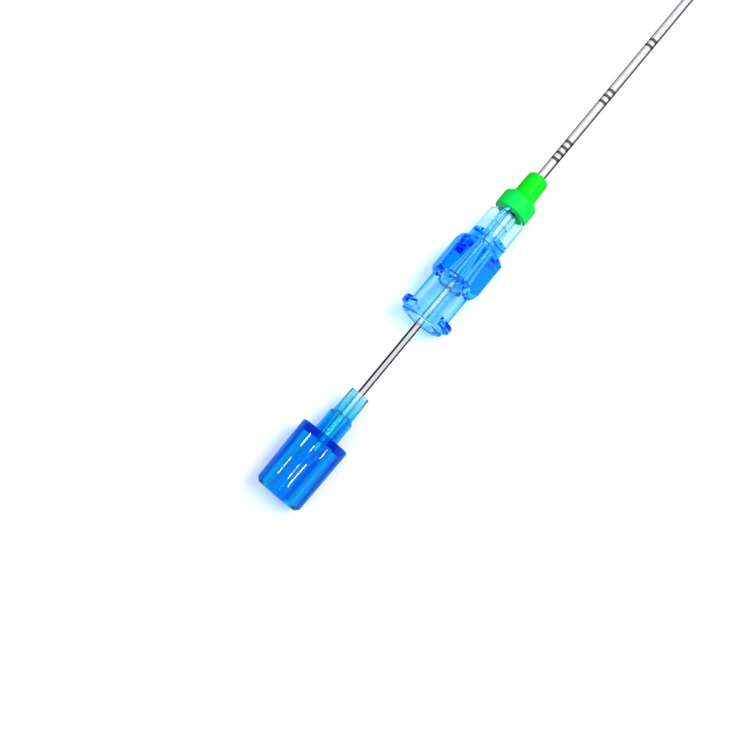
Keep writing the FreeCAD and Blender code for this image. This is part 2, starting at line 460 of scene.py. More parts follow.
def add_node(tree, kind, settings=None, values=None, links=None):
    """Add a shader node with its settings, socket values and links from other nodes' outputs."""
    node = tree.nodes.new(kind)
    for name, value in (settings or {}).items():
        setattr(node, name, value)
    for socket, value in (values or {}).items():
        node.inputs[socket].default_value = value
    for socket, source in (links or {}).items():
        tree.links.new(source, node.inputs[socket])
    return node


def empty_material(name):
    """New material with an empty node tree."""
    material = bpy.data.materials.new(name)
    material.use_nodes = True
    material.node_tree.nodes.clear()
    return material


def clear_styrene(name, losses, shade):
    """Clear tinted styrene, moulded against polished steel.

    Its walls are tinted through their thickness, so thin ones look pale and thick ones deep. Its skin is
    glossy, with a faint ripple of flow from the gate, about 2 mm across and 6 mm long. Lamps and the floor's
    soft light pass it unbent, and each skin that they pass leaves them the colour of the shade. A millimetre
    keeps exp(-loss) of a colour, and the density is a little over the highest loss, so that no channel of the
    tint is quite nought.
    """
    material = empty_material(name)
    tree = material.node_tree
    place = add_node(tree, "ShaderNodeTexCoord")
    stretched = add_node(
        tree, "ShaderNodeMapping", values={"Scale": (0.3 / MM, 1 / MM, 1 / MM)},
        links={"Vector": place.outputs["Object"]})
    flow = add_node(
        tree, "ShaderNodeTexNoise", values={"Scale": 0.55, "Detail": 2, "Roughness": 0.4},
        links={"Vector": stretched.outputs["Vector"]})
    bump = add_node(
        tree, "ShaderNodeBump", values={"Strength": 0.25, "Distance": 0.05 * MM},
        links={"Height": flow.outputs["Fac"]})
    plastic = add_node(
        tree, "ShaderNodeBsdfPrincipled",
        values={"Base Color": (1, 1, 1, 1), "Roughness": 0.0, "IOR": 1.55, "Transmission Weight": 1.0},
        links={"Normal": bump.outputs["Normal"]})
    window = add_node(tree, "ShaderNodeBsdfTransparent", values={"Color": (*linear_colour(shade), 1)})
    path = add_node(tree, "ShaderNodeLightPath")
    bounced = add_node(
        tree, "ShaderNodeMixShader",
        links={0: path.outputs["Is Diffuse Ray"], 1: plastic.outputs[0], 2: window.outputs[0]})
    lit = add_node(
        tree, "ShaderNodeMixShader",
        links={0: path.outputs["Is Shadow Ray"], 1: bounced.outputs[0], 2: window.outputs[0]})
    density = max(losses) / DENSITY_SHARE
    tint = [1 - loss / density for loss in losses]
    depth = add_node(
        tree, "ShaderNodeVolumeAbsorption", values={"Color": (*tint, 1), "Density": density / MM})
    add_node(tree, "ShaderNodeOutputMaterial", links={"Surface": lit.outputs[0], "Volume": depth.outputs[0]})
    return material


def cured_adhesive(name):
    """Clear cured resin, poured: glossy, very slightly milky and colourless."""
    material = empty_material(name)
    tree = material.node_tree
    resin = add_node(
        tree, "ShaderNodeBsdfPrincipled",
        values={
            "Base Color": (0.93, 0.96, 0.97, 1), "Roughness": 0.12, "IOR": 1.5, "Transmission Weight": 1.0})
    window = add_node(tree, "ShaderNodeBsdfTransparent", values={"Color": (*linear_colour("f7fbff"), 1)})
    path = add_node(tree, "ShaderNodeLightPath")
    lit = add_node(
        tree, "ShaderNodeMixShader",
        links={0: path.outputs["Is Shadow Ray"], 1: resin.outputs[0], 2: window.outputs[0]})
    add_node(tree, "ShaderNodeOutputMaterial", links={"Surface": lit.outputs[0]})
    return material


def ground_steel(name, settings, ringed):
    """Stainless steel tube or wire, centreless ground and polished.

    Fine rings of grinding run round it, 0.12 mm apart here so that they show, and they break up its
    highlights a little along its length. The ringed one has dark oxide bands made by a laser, duller than
    the steel between them.
    """
    material = empty_material(name)
    tree = material.node_tree
    place = add_node(tree, "ShaderNodeTexCoord")
    stretched = add_node(
        tree, "ShaderNodeMapping", values={"Scale": (1 / MM, 0.08 / MM, 0.08 / MM)},
        links={"Vector": place.outputs["Object"]})
    grinding = add_node(
        tree, "ShaderNodeTexNoise", values={"Scale": 8.0, "Detail": 3, "Roughness": 0.6},
        links={"Vector": stretched.outputs["Vector"]})
    bump = add_node(
        tree, "ShaderNodeBump", values={"Strength": 0.12, "Distance": 0.01 * MM},
        links={"Height": grinding.outputs["Fac"]})
    colour = settings.tube_colour if ringed else settings.wire_colour
    darker = [channel * 0.85 for channel in colour]
    roughness = settings.tube_roughness if ringed else settings.wire_roughness
    tone = add_node(
        tree, "ShaderNodeMix", settings={"data_type": "RGBA"},
        values={MIX_FIRST: (*darker, 1), MIX_SECOND: (*colour, 1)},
        links={0: grinding.outputs["Fac"]})
    steel = add_node(
        tree, "ShaderNodeBsdfPrincipled", values={"Metallic": 1.0, "Roughness": roughness},
        links={"Normal": bump.outputs["Normal"], "Base Color": tone.outputs[MIX_RESULT]})
    if ringed:
        mask = depth_ring_mask(tree, place.outputs["Object"], grinding.outputs["Fac"], settings)
        banded = add_node(
            tree, "ShaderNodeMix", settings={"data_type": "RGBA"},
            values={MIX_SECOND: (*settings.ring_colour, 1)},
            links={0: mask, MIX_FIRST: tone.outputs[MIX_RESULT]})
        dulled = add_node(
            tree, "ShaderNodeMapRange", values={"To Min": roughness, "To Max": 0.45}, links={"Value": mask})
        tree.links.new(banded.outputs[MIX_RESULT], steel.inputs["Base Color"])
        tree.links.new(dulled.outputs[0], steel.inputs["Roughness"])
    add_node(tree, "ShaderNodeOutputMaterial", links={"Surface": steel.outputs[0]})
    return material


def depth_ring_mask(tree, place, unevenness, settings):
    """Output that is one on a depth ring and nought between rings.

    The distance back from the tip gives the nearest group, one group pitch apart. The remainder of its
    number by five is its count of rings, and where that is nought it has one broad band. So the groups show
    four, three, two, one and the band in turn from the hub on, and the tip has none.

    The offset from a group's middle is in ring pitches, and an even count shifts the ring lines by half a
    pitch. A group of n rings lies within n pitches, and a ring is where the distance to the nearest ring line
    is under half its width. Each step has its name, its operation, and its inputs, which are numbers or the
    names of other outputs.
    """
    steps = (
        ("from_tip", "SUBTRACT", TUBE_TIP * MM, "along"),
        ("groups_back", "DIVIDE", "from_tip", settings.group_pitch),
        ("number", "ROUND", "groups_back"),
        ("part_of_group", "SUBTRACT", "groups_back", "number"),
        ("in_pitches", "MULTIPLY", "part_of_group", settings.group_pitch / settings.ring_pitch),
        ("grain", "SUBTRACT", "unevenness", 0.5),
        ("wobble", "MULTIPLY", "grain", RING_EDGE_WOBBLE),
        ("offset", "ADD", "in_pitches", "wobble"),
        ("from_middle", "ABSOLUTE", "offset"),
        ("count", "FLOORED_MODULO", "number", GROUPS_TO_A_BAND),
        ("parity", "FLOORED_MODULO", "count", 2.0),
        ("even_count", "COMPARE", "parity", 0.0, 0.5),
        ("shift", "MULTIPLY", "even_count", 0.5),
        ("shifted", "ADD", "offset", "shift"),
        ("nearest_line", "ROUND", "shifted"),
        ("past_line", "SUBTRACT", "shifted", "nearest_line"),
        ("to_line", "ABSOLUTE", "past_line"),
        ("on_line", "LESS_THAN", "to_line", settings.ring_width / settings.ring_pitch / 2),
        ("half_group", "MULTIPLY", "count", 0.5),
        ("in_group", "LESS_THAN", "from_middle", "half_group"),
        ("on_ring", "MULTIPLY", "on_line", "in_group"),
        ("no_rings", "LESS_THAN", "count", 0.5),
        ("in_band", "LESS_THAN", "from_middle", BAND_WIDTH / 2),
        ("on_band", "MULTIPLY", "no_rings", "in_band"),
        ("marked", "MAXIMUM", "on_ring", "on_band"),
        ("before_tip", "GREATER_THAN", "number", 0.5),
        ("mask", "MULTIPLY", "marked", "before_tip"),
    )
    along = add_node(tree, "ShaderNodeSeparateXYZ", links={"Vector": place})
    found = {"along": along.outputs["X"], "unevenness": unevenness}
    for name, operation, *inputs in steps:
        node = add_node(
            tree, "ShaderNodeMath", settings={"operation": operation},
            values={socket: value for socket, value in enumerate(inputs) if not isinstance(value, str)},
            links={socket: found[value] for socket, value in enumerate(inputs) if isinstance(value, str)})
        found[name] = node.outputs[0]
    return found["mask"]


def opaque_green(name, colour, collar_glow_colour):
    """Opaque green polypropylene, moulded: satin, a little soft inside, with a blasted mould's fine grain.

    The grain is 0.11 mm wide, and the colour clouds a little every 2 mm. The collar has a painted glow: its
    colour is painted more blue, for the light from the clear blue hub that shines through it.
    """
    material = empty_material(name)
    tree = material.node_tree
    place = add_node(tree, "ShaderNodeTexCoord")
    grain = add_node(
        tree, "ShaderNodeTexNoise", values={"Scale": 9 / MM, "Detail": 3, "Roughness": 0.6},
        links={"Vector": place.outputs["Object"]})
    bump = add_node(
        tree, "ShaderNodeBump", values={"Strength": 0.15, "Distance": 0.01 * MM},
        links={"Height": grain.outputs["Fac"]})
    clouds = add_node(
        tree, "ShaderNodeTexNoise", values={"Scale": 0.5 / MM, "Detail": 1},
        links={"Vector": place.outputs["Object"]})
    darker = [channel * 0.92 for channel in colour]
    tone = add_node(
        tree, "ShaderNodeMix", settings={"data_type": "RGBA"},
        values={MIX_FIRST: (*darker, 1), MIX_SECOND: (*colour, 1)},
        links={0: clouds.outputs["Fac"]})
    shoulder = NOSE_START + COLLAR_WIDTH
    along = add_node(tree, "ShaderNodeSeparateXYZ", links={"Vector": place.outputs["Object"]})
    collar = add_node(
        tree, "ShaderNodeMapRange",
        values={
            "From Min": (shoulder + SHOULDER_LENGTH) * MM, "From Max": (shoulder - SHOULDER_LENGTH) * MM},
        links={"Value": along.outputs["X"]})
    # Painted glow: behind the shoulder, the collar's colour is mixed in, painted more blue for the hub's
    # light
    glow_tinted = add_node(
        tree, "ShaderNodeMix", settings={"data_type": "RGBA"}, values={MIX_SECOND: (*collar_glow_colour, 1)},
        links={0: collar.outputs[0], MIX_FIRST: tone.outputs[MIX_RESULT]})
    plastic = add_node(
        tree, "ShaderNodeBsdfPrincipled",
        values={
            "Roughness": 0.36, "IOR": 1.49, "Specular IOR Level": 0.3, "Subsurface Weight": 0.25,
            "Subsurface Scale": 0.4 * MM, "Subsurface Radius": (0.3, 1.0, 0.3)},
        links={"Normal": bump.outputs["Normal"], "Base Color": glow_tinted.outputs[MIX_RESULT]})
    add_node(tree, "ShaderNodeOutputMaterial", links={"Surface": plastic.outputs[0]})
    return material


class NEEDLE_OT_tube(bpy.types.Operator):
    """Steel tube with a bevelled tip and dark depth rings"""

    bl_idname = "needle.tube"
    bl_label = "Steel tube"

    def execute(self, context):
        # The bevel is a plane: at a height z the tube ends (z + its radius) / slope short of its tip
        angles = even_columns()
        height = np.sin(np.radians(angles))
        outer_tip = TUBE_TIP - (TUBE_RADIUS * height + TUBE_RADIUS) / BEVEL_SLOPE
        inner_tip = TUBE_TIP - (TUBE_BORE_RADIUS * height + TUBE_RADIUS) / BEVEL_SLOPE
        start = np.full_like(angles, TUBE_START)
        x = np.stack([start, start + FINE_EDGE, outer_tip - FINE_EDGE, outer_tip, inner_tip, start])
        radius = np.array([
            TUBE_RADIUS - FINE_EDGE, TUBE_RADIUS, TUBE_RADIUS, TUBE_RADIUS - FINE_EDGE / 4, TUBE_BORE_RADIUS,
            TUBE_BORE_RADIUS])
        piece = swept_piece("steel_tube", x, radius, angles)
        steel = ground_steel("ground_stainless_ringed", context.scene.needle_tube, ringed=True)
        dress(piece, steel, "needle", "cannula_tube")
        return {"FINISHED"}


class NEEDLE_OT_wire(bpy.types.Operator):
    """Steel wire of the stylet, with a broken edge at its rear and a bevelled tip"""

    bl_idname = "needle.wire"
    bl_label = "Stylet wire"

    def execute(self, context):
        # The bevel has the tube's slope, and its faces fan out from the point where it meets the axis
        angles = even_columns()
        height = np.sin(np.radians(angles))
        plane = WIRE_TIP - WIRE_RADIUS / BEVEL_SLOPE
        start = np.full_like(angles, WIRE_START)
        tip = plane - WIRE_RADIUS * height / BEVEL_SLOPE
        x = np.stack([start, start, start + WIRE_CHAMFER, tip, np.full_like(angles, plane)])
        radius = np.array([0, WIRE_RADIUS - WIRE_CHAMFER, WIRE_RADIUS, WIRE_RADIUS, 0])
        piece = swept_piece("stylet_wire", x, radius, angles, closed=False)
        steel = ground_steel("drawn_stainless_wire", context.scene.needle_tube, ringed=False)
        dress(piece, steel, "stylet", "stylet_rod")
        return {"FINISHED"}


def hub_columns(count):
    """Angles round the hub: even ones, and finer ones at the grip's edges, the fins and the lugs' ends."""
    even = even_columns(count)
    edges = (even_columns(6)[:, None] + EDGE_COLUMNS).ravel()
    half_thickness = FIN_THICKNESS / 2
    foot = math.degrees(math.asin(half_thickness / CORE_RADIUS))
    shoulder = math.degrees(math.atan2(half_thickness, FIN_RADIUS - half_thickness))
    top = shoulder * np.sin(np.linspace(0, math.pi / 2, FIN_TOP_STEPS))
    beside = np.concatenate([top, FIN_SIDE_COLUMNS, [foot]])
    fins = (even_columns(4)[:, None] + np.concatenate([-beside, beside])).ravel()
    lug_end = LUG_HALF_ANGLE + np.linspace(-LUG_END_SLOPE, LUG_END_SLOPE / 3, LUG_END_STEPS)
    lugs = (even_columns(2)[:, None] + np.concatenate([-lug_end, lug_end])).ravel()
    angles = np.sort(np.concatenate([edges, fins, lugs]) % 360)
    spare = even[np.min(np.abs(even[:, None] - angles), axis=1) > COLUMN_GAP]
    return np.unique(np.round(np.concatenate([angles, spare]), 4))


def hub_outline():
    """Rows of the hub's outside, from socket mouth to spigot end, as x, base radius and reach of the fins.

    The base radius is what a turned hub would have. A station is its row and the number of even steps to the
    next station. Rows lie close together where the lugs and the grip's slopes need them.
    """
    rim_middle = RIM_ROUND * ROUND_MIDDLE
    ring_middle = RING_STEP * ROUND_MIDDLE
    grip_start = BARREL_END + GRIP_REAR_SLOPE
    grip_stop = GRIP_END - GRIP_FRONT_SLOPE
    stations = [
        (0, SOCKET_MOUTH_RADIUS + MOUTH_ROUND, 0, 2),
        (0, RIM_RADIUS - RIM_ROUND, 0, 2),
        (rim_middle, RIM_RADIUS - rim_middle, 0, 2),
        (RIM_ROUND, RIM_RADIUS, 0, 40),
        (RIM_END, RIM_RADIUS, 0, 2),
        (RIM_END, BARREL_RADIUS + FINE_EDGE, 0, 1),
        (RIM_END + FINE_EDGE, BARREL_RADIUS, 0, 12),
        (RIM_END + LUG_RUNOUT, BARREL_RADIUS, 0, 4),
        (BARREL_END, BARREL_RADIUS, 0, 26),
        (grip_start, GRIP_CORNER_RADIUS, 0, 3),
        (grip_start + GRIP_RUNOUT, GRIP_CORNER_RADIUS + GRIP_MARGIN, 0, 4),
        (grip_stop - GRIP_RUNOUT, GRIP_CORNER_RADIUS + GRIP_MARGIN, 0, 3),
        (grip_stop, GRIP_CORNER_RADIUS, 0, 24),
        (GRIP_END, RING_RADIUS + RING_STEP, 0, 1),
        (GRIP_END, RING_RADIUS + FINE_EDGE, 0, 1),
        (GRIP_END + FINE_EDGE, RING_RADIUS, 0, 2),
        (RING_END - RING_STEP, RING_RADIUS, 0, 1),
        (RING_END - ring_middle, RING_RADIUS - ring_middle, 0, 1),
        (RING_END, RING_RADIUS - RING_STEP, 0, 1),
        (RING_END, CORE_RADIUS, FIN_RADIUS, 3),
        (NOSE_START - FIN_CORNER, CORE_RADIUS, FIN_RADIUS, 6),
        (NOSE_START, CORE_RADIUS, FIN_RADIUS - FIN_CORNER, 1),
        (NOSE_START, SPIGOT_RADIUS, 0, 1),
        (HUB_END - FINE_EDGE, SPIGOT_RADIUS, 0, 1),
        (HUB_END, SPIGOT_RADIUS - FINE_EDGE, 0, 0),
    ]
    rows = [
        np.linspace(station[:3], ahead[:3], station[3], endpoint=False)
        for station, ahead in zip(stations, stations[1:])]
    return np.concatenate([*rows, [stations[-1][:3]]])


def lug_radius(x, angles, middle):
    """Radius over one lug of the luer lock.

    Its section is a trapezoid, so the radius falls by a flank's slope with the distance along the needle
    from the lug's middle. An oval, broad across the sides, limits the crest. Both ends slope down steeply.
    """
    turn = np.abs((angles - middle + 180) % 360 - 180)
    slope = (LUG_SIDE_RADIUS - BARREL_RADIUS) * 2 / (LUG_ROOT_WIDTH - LUG_CREST_WIDTH)
    ridge = BARREL_RADIUS + slope * (LUG_ROOT_WIDTH / 2 - np.abs(x - LUG_MIDDLE))
    across = np.cos(np.radians(angles)) / LUG_SIDE_RADIUS
    upright = np.sin(np.radians(angles)) / LUG_TOP_RADIUS
    oval = 1 / np.sqrt(across ** 2 + upright ** 2)
    past_end = np.clip((turn - LUG_HALF_ANGLE + LUG_END_SLOPE) / LUG_END_SLOPE, 0, 1)
    sunk = past_end ** 2 * (LUG_SIDE_RADIUS - BARREL_RADIUS)
    return smooth_min(ridge, oval, LUG_BLEND) - sunk


def grip_radius(angles):
    """Distance from the axis to a hexagon with rounded edges.

    It is the half width over the p-norm of the cosines of the angles to the six faces, and a higher p gives
    sharper edges.
    """
    to_face = np.radians(angles[:, None] - (30 + even_columns(6)))
    facing = np.maximum(np.cos(to_face), 0) ** GRIP_EDGE_SHARPNESS
    return GRIP_HALF_WIDTH / np.sum(facing, axis=1) ** (1 / GRIP_EDGE_SHARPNESS)


def fin_radius(angles, reach):
    """Distance from the axis to the four fins.

    A fin's side is half its thickness over the sine of the angle from its middle. Its top is a full round:
    the far point where the line at that angle meets a circle of half the thickness, which touches the reach.
    """
    half = FIN_THICKNESS / 2
    turn = np.radians((angles + 45) % 90 - 45)
    centre = reach - half
    chord = half ** 2 - (centre * np.sin(turn)) ** 2
    top = centre * np.cos(turn) + np.sqrt(np.maximum(chord, 0))
    side = half / np.maximum(np.abs(np.sin(turn)), NEARLY_NOUGHT)
    radius = np.where(np.abs(np.tan(turn)) < half / np.maximum(centre, NEARLY_NOUGHT), top, side)
    return np.where(reach > 0, radius, 0)


class NEEDLE_OT_hub(bpy.types.Operator):
    """Clear blue cannula hub: lugs, grip, ring, fins, socket and guide funnel in one moulding"""

    bl_idname = "needle.hub"
    bl_label = "Cannula hub"

    def execute(self, context):
        # The hexagon cuts off the grip's turned radius, lugs rise out of the barrel, and fins out of the core
        settings = context.scene.needle_hub
        angles = hub_columns(settings.columns)
        x, base, reach = [column[:, None] for column in hub_outline().T]
        gripped = smooth_min(base, grip_radius(angles)[None, :], GRIP_BLEND)
        outside = np.where(x < BARREL_END, base, gripped)
        for middle in even_columns(2):
            lug = lug_radius(x, angles[None, :], middle)
            joined = smooth_max(outside, lug, LUG_BLEND)
            outside = np.where(lug > outside - LUG_BLEND * 2, joined, outside)
        outside = np.maximum(outside, fin_radius(angles[None, :], reach))
        inner_x, inner_radius = rounded_outline([
            (HUB_END, GLUE_RADIUS + BOND_GAP, 0),
            (GLUE_START, GLUE_RADIUS + BOND_GAP, 0),
            (GLUE_START, TUBE_RADIUS + BOND_GAP, 0),
            (TUBE_START, TUBE_RADIUS + BOND_GAP, 0),
            (TUBE_START, TUBE_BORE_RADIUS, 0),
            (SOCKET_DEPTH + GUIDE_STEP, GUIDE_MOUTH_RADIUS, MOUTH_ROUND),
            (SOCKET_DEPTH, SOCKET_FLOOR_RADIUS, MOUTH_ROUND),
            (MOUTH_ROUND, SOCKET_MOUTH_RADIUS, 0),
        ], closed=False)
        columns = len(angles)
        inside = np.broadcast_to(inner_radius[:, None], (len(inner_x), columns))
        radius = np.concatenate([outside, inside])
        x = np.concatenate([x[:, 0], inner_x])
        piece = swept_piece("blue_hub", x, radius, angles)
        plastic = clear_styrene("clear_blue_styrene", settings.losses, shade="eefaff")
        dress(piece, plastic, "needle", "cannula_hub")
        return {"FINISHED"}


class NEEDLE_OT_adhesives(bpy.types.Operator):
    """Cured glue in the hub's nose and at the bottom of the stylet hub's funnel"""

    bl_idname = "needle.adhesives"
    bl_label = "Adhesives"

    def execute(self, context):
        resin = cured_adhesive("clear_cured_resin")
        around_tube = turned_piece("hub_glue", [
            (GLUE_START, TUBE_RADIUS + BOND_GAP, 0),
            (GLUE_START, GLUE_RADIUS, FINE_EDGE),
            (HUB_END, GLUE_RADIUS, FINE_EDGE),
            (HUB_END, TUBE_RADIUS + BOND_GAP, 0),
        ])
        dress(around_tube, resin, "needle", "hub_adhesive")
        growth = (FUNNEL_MOUTH_RADIUS - FUNNEL_THROAT_RADIUS) / (PLUG_END - FUNNEL_START)
        glue_radius = FUNNEL_THROAT_RADIUS + growth * (STYLET_GLUE_END - FUNNEL_START) - BOND_GAP
        around_wire = turned_piece("stylet_glue", [
            (FUNNEL_START, WIRE_HOLE_RADIUS, 0),
            (FUNNEL_START, FUNNEL_THROAT_RADIUS, 0),
            (STYLET_GLUE_END, glue_radius, FINE_EDGE),
            (STYLET_GLUE_END, WIRE_HOLE_RADIUS, 0),
        ])
        dress(around_wire, resin, "stylet", "stylet_adhesive")
        return {"FINISHED"}


class NEEDLE_OT_nose_cap(bpy.types.Operator):
    """Opaque green cap on the hub's nose, a collar with a sloping shoulder and a rounded nose"""

    bl_idname = "needle.nose_cap"
    bl_label = "Nose cap"

    def execute(self, context):
        hole = SPIGOT_RADIUS + BOND_GAP
        shoulder = NOSE_START + COLLAR_WIDTH
        bore = TUBE_RADIUS + BOND_GAP
        floor = HUB_END + SPIGOT_ROOM
        piece = turned_piece("green_nose_cap", [
            (NOSE_START, hole, 0),
            (NOSE_START, COLLAR_RADIUS, COLLAR_ROUND),
            (shoulder, COLLAR_RADIUS, SHOULDER_ROUND),
            (shoulder + SHOULDER_LENGTH, NOSE_REAR_RADIUS, SHOULDER_ROUND),
            (NOSE_END, NOSE_FRONT_RADIUS, NOSE_ROUND),
            (NOSE_END, bore, 0),
            (floor, bore, 0),
            (floor, hole, 0),
        ])
        settings = context.scene.needle_hub
        plastic = opaque_green("satin_green_polypropylene", settings.nose_colour, settings.collar_glow_colour)
        dress(piece, plastic, "needle", "nose_cap")
        return {"FINISHED"}


class NEEDLE_OT_stylet_hub(bpy.types.Operator):
    """Clear deep blue stylet hub: hollow cap, neck and tapered tip with an open funnel"""

    bl_idname = "needle.stylet_hub"
    bl_label = "Stylet hub"

    def execute(self, context):
        neck_end = CAP_FRONT + NECK_LENGTH
        piece = turned_piece("blue_stylet_hub", [
            (CAP_REAR, CUP_RADIUS, FINE_EDGE),
            (CAP_REAR, CAP_REAR_RADIUS - CAP_CHAMFER, SOFT_EDGE),
            (CAP_REAR + CAP_CHAMFER, CAP_REAR_RADIUS, BROAD_EDGE),
            (CAP_FRONT, CAP_FRONT_RADIUS, CAP_ROUND),
            (CAP_FRONT, NECK_RADIUS, SOFT_EDGE),
            (neck_end, NECK_RADIUS, SOFT_EDGE),
            (neck_end + NECK_CHAMFER, TIP_RADIUS, SOFT_EDGE),
            (PLUG_END, TIP_END_RADIUS, FINE_EDGE),
            (PLUG_END, FUNNEL_MOUTH_RADIUS, FINE_EDGE),
            (FUNNEL_START, FUNNEL_THROAT_RADIUS, 0),
            (FUNNEL_START, WIRE_HOLE_RADIUS, 0),
            (CUP_FLOOR, WIRE_HOLE_RADIUS, 0),
            (CUP_FLOOR, CUP_FLOOR_RADIUS, CUP_ROUND),
        ])
        losses = context.scene.needle_stylet.losses
        plastic = clear_styrene("clear_deep_blue_styrene", losses, shade="e3f2fa")
        dress(piece, plastic, "stylet", "stylet_hub")
        return {"FINISHED"}


def add_area_light(name, lean, angle, distance, along_needle, length, width, radiance):
    """Rectangular lamp, its length along X, that faces the needle from a distance and at an angle round it.

    The angle is in degrees and is added to the studio's lean. A lamp of power P and area A has a radiance of
    P / (pi A), so its power is worked out from the radiance.
    """
    turn = lean + math.radians(angle)
    facing = (along_needle, 0, 0)
    centre = (along_needle, -distance * math.sin(turn), distance * math.cos(turn))
    light = bpy.data.lights.new(name, "AREA")
    light.shape = "RECTANGLE"
    light.size = length
    light.size_y = width
    light.energy = radiance * math.pi * length * width
    lamp = bpy.data.objects.new(name, light)
    backward = (Vector(centre) - Vector(facing)).normalized()
    along = Vector((1, 0, 0))
    across = backward.cross(along).normalized()
    along = across.cross(backward)
    turned = Matrix((along, across, backward)).transposed().to_4x4()
    lamp.matrix_world = Matrix.Translation(Vector(centre)) @ turned
    lamp.visible_camera = False
    bpy.context.scene.collection.objects.link(lamp)
    return lamp


def collected(name, pieces):
    """Collection of the pieces named, which alone receive a lamp's light or block it."""
    group = bpy.data.collections.new(name)
    for piece in pieces:
        group.objects.link(bpy.data.objects[piece])
    return group


def photo_camera(height, side_angle):
    """Camera over the stylet hub, looking down and a little towards the tip, with the needle aslant.

    It is set up straight over the needle, and then swung round the needle's axis by the side angle.
    """
    data = bpy.data.cameras.new("photo_camera")
    data.sensor_width = SENSOR_WIDTH
    data.lens = SENSOR_WIDTH * FOCAL_PIXELS / IMAGE_SIZE
    data.clip_start = CLIP_START
    camera = bpy.data.objects.new("photo_camera", data)
    aim = Vector(CAMERA_AIM)
    look = Vector((math.sin(CAMERA_TILT), 0, -math.cos(CAMERA_TILT)))
    needle_way = Vector((math.cos(CAMERA_TILT), 0, math.sin(CAMERA_TILT)))
    side_way = Vector((0, 1, 0))
    right = needle_way * math.sin(CAMERA_ROLL) - side_way * math.cos(CAMERA_ROLL)
    upward = needle_way * math.cos(CAMERA_ROLL) + side_way * math.sin(CAMERA_ROLL)
    turned = Matrix((right, upward, -look)).transposed().to_4x4()
    upright = Matrix.Translation(aim - look * height / math.cos(CAMERA_TILT)) @ turned
    camera.matrix_world = Matrix.Rotation(side_angle, 4, "X") @ upright
    bpy.context.scene.collection.objects.link(camera)
    bpy.context.scene.camera = camera


def studio_world(settings):
    """Room that is pale where the camera sees it, less so through clear plastic, and dim in reflections."""
    world = bpy.data.worlds.new("studio_room")
    world.use_nodes = True
    tree = world.node_tree
    tree.nodes.clear()
    path = add_node(tree, "ShaderNodeLightPath")
    room = (*linear_colour("dce6f4"), 1)
    mirrored = add_node(
        tree, "ShaderNodeBackground", values={"Color": room, "Strength": settings.room_mirrored})
    through = add_node(
        tree, "ShaderNodeBackground", values={"Color": room, "Strength": settings.room_through})
    wall = (*linear_colour("f6f8fb"), 1)
    pale = add_node(tree, "ShaderNodeBackground", values={"Color": wall, "Strength": 1.0})
    bent = add_node(
        tree, "ShaderNodeMixShader",
        links={0: path.outputs["Is Transmission Ray"], 1: mirrored.outputs[0], 2: through.outputs[0]})
    seen = add_node(
        tree, "ShaderNodeMixShader",
        links={0: path.outputs["Is Camera Ray"], 1: bent.outputs[0], 2: pale.outputs[0]})
    add_node(tree, "ShaderNodeOutputWorld", links={"Surface": seen.outputs[0]})
    bpy.context.scene.world = world


def white_floor(settings):
    """Matt white acrylic sheet under the needle, lit until it is plain white.

    In the steel it is painted dim, a painted shade that gives the tube its dark edges. In the clear
    plastics' gloss, the only reflections without any roughness, it is painted with the blue-green of their
    glow.
    """
    half = FLOOR_SIZE / 2
    middle = (CAD_BOX[0][0] + CAD_BOX[1][0]) / 2
    level = CAD_BOX[0][2]
    mesh = bpy.data.meshes.new("studio_floor")
    corners = [
        (middle - half, -half, level), (middle + half, -half, level),
        (middle + half, half, level), (middle - half, half, level)]
    mesh.from_pydata(corners, [], [(0, 1, 2, 3)])
    floor = bpy.data.objects.new("studio_floor", mesh)
    bpy.context.scene.collection.objects.link(floor)
    material = empty_material("matt_white_acrylic")
    tree = material.node_tree
    colour = np.array(settings.floor_colour)
    path = add_node(tree, "ShaderNodeLightPath")
    sheet = add_node(tree, "ShaderNodeBsdfDiffuse", values={"Color": (*colour, 1)})
    # Painted shade and painted glow: copies of the sheet, dim for reflections and blue-green for the
    # plastics' gloss
    painted_dim_sheet = add_node(
        tree, "ShaderNodeBsdfDiffuse", values={"Color": (*colour * settings.floor_mirrored, 1)})
    painted_glow_sheet = add_node(tree, "ShaderNodeBsdfDiffuse", values={"Color": (*settings.floor_glow_in_gloss, 1)})
    mirrored = add_node(
        tree, "ShaderNodeMath", settings={"operation": "MULTIPLY"},
        links={0: path.outputs["Is Glossy Ray"], 1: path.outputs["Is Reflection Ray"]})
    reflection = add_node(
        tree, "ShaderNodeMixShader",
        links={0: path.outputs["Is Singular Ray"], 1: painted_dim_sheet.outputs[0], 2: painted_glow_sheet.outputs[0]})
    seen = add_node(
        tree, "ShaderNodeMixShader",
        links={0: mirrored.outputs[0], 1: sheet.outputs[0], 2: reflection.outputs[0]})
    add_node(tree, "ShaderNodeOutputMaterial", links={"Surface": seen.outputs[0]})
    mesh.materials.append(material)


def room_lights(settings, lean):
    """Broad panel and soft box that light the floor and cast the blue glow on it."""
    fill = add_area_light(
        "overhead_fill", lean, FILL_ANGLE, FILL_DISTANCE, LAMP_CENTRE_X, FILL_LENGTH, FILL_WIDTH,
        settings.fill_radiance)
    fill.visible_glossy = False
    key = add_area_light(
        "key_soft_box", lean, KEY_ANGLE, KEY_DISTANCE, KEY_X, KEY_LENGTH, KEY_WIDTH, settings.key_radiance)
    key.visible_glossy = False
    key.visible_transmission = False
    key.light_linking.blocker_collection = collected("casts_the_glow", CLEAR_PIECES)


